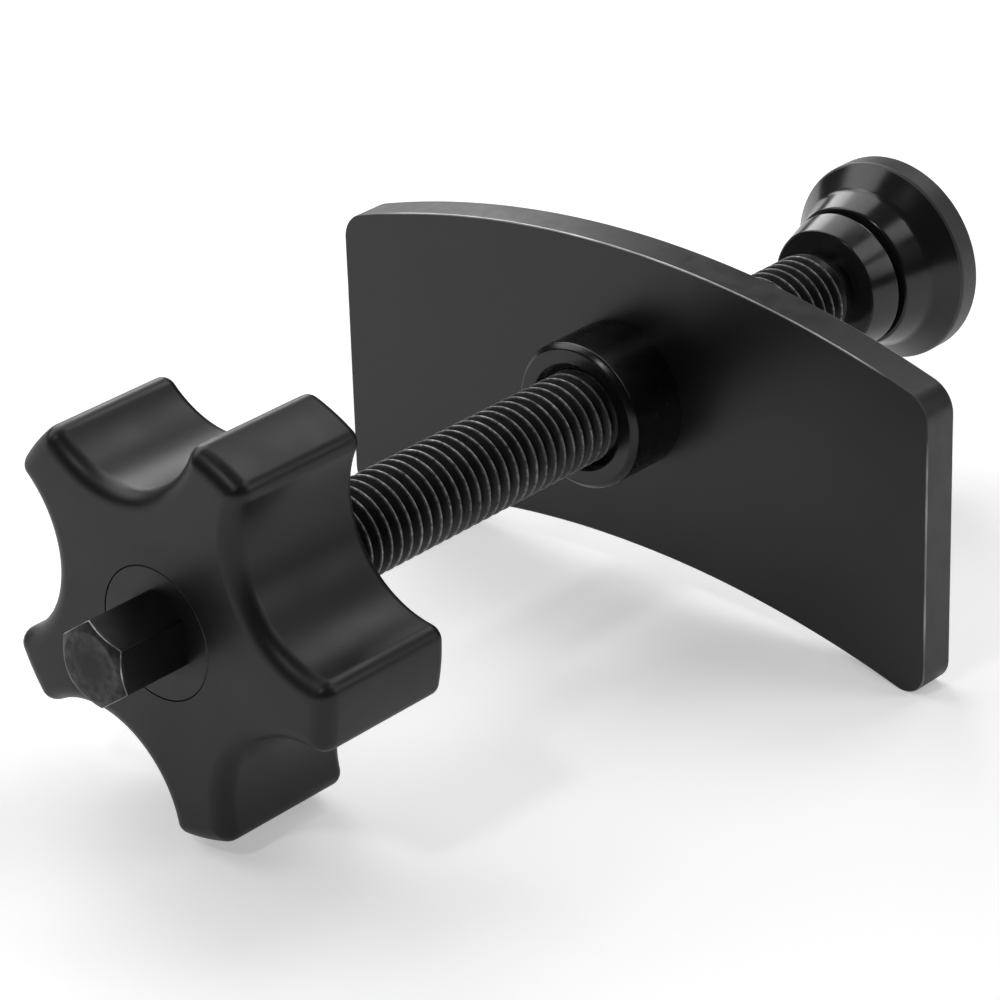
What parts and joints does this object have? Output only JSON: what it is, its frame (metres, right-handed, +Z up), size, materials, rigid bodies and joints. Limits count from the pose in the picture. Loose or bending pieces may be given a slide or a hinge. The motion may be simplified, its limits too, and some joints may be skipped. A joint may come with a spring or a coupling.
{
  "type": "brake caliper piston tool",
  "caption": "Screw press for pushing brake pistons back: star knob with hexagon end, threaded spindle, curved pressure plate with a boss, and a flared swivel foot.",
  "frame": {"origin": "on the spindle's axis, at the plate's face on the knob's side, which bears on the caliper", "axes": "+Y along the spindle from the knob to the foot, +Z up towards the plate's raised edge, +X along the plate's width"},
  "size_m": [0.11, 0.1723, 0.061],
  "materials": {
    "plate_coat": "satin black coat",
    "boss_oxide": "oiled black oxide, turned",
    "spindle_oxide": "black oxide with worn bright crests",
    "knob_plastic": "fine satin moulding",
    "bush_oxide": "black oxide, turned",
    "foot_oxide": "polished black oxide",
    "bronze": "oiled bearing bronze",
    "spring_steel": "bright spring steel"
  },
  "bodies": {
    "plate": {"pressure_plate": "plate_coat", "threaded_boss": "boss_oxide", "boss_weld": "plate_coat"},
    "thrust": {"thrust_washer": "bronze"},
    "screw": {"spindle": "spindle_oxide", "star_knob": "knob_plastic", "knob_bush": "bush_oxide", "lock_pin": "spring_steel", "foot_collar": "foot_oxide", "snap_ring": "spring_steel"},
    "foot": {"foot_pad": "foot_oxide"}
  },
  "joints": [
    {"name": "spindle_travel", "type": "slide", "parent": "plate", "child": "thrust", "axis": [0, 1, 0], "range_m": [-0.037, 0.059]},
    {"name": "spindle_turn", "type": "hinge", "parent": "thrust", "child": "screw", "pos_m": [0, 0, 0], "axis": [0, 1, 0], "range_deg": [-6660, 10620]},
    {"name": "foot_swivel", "type": "hinge", "parent": "thrust", "child": "foot", "pos_m": [0, 0.054, 0], "axis": [0, 1, 0], "continuous": true}
  ],
  "couplings": [
    {"joint": "spindle_travel", "follows": "spindle_turn", "m_per_rad": 0.00031831}
  ]
}
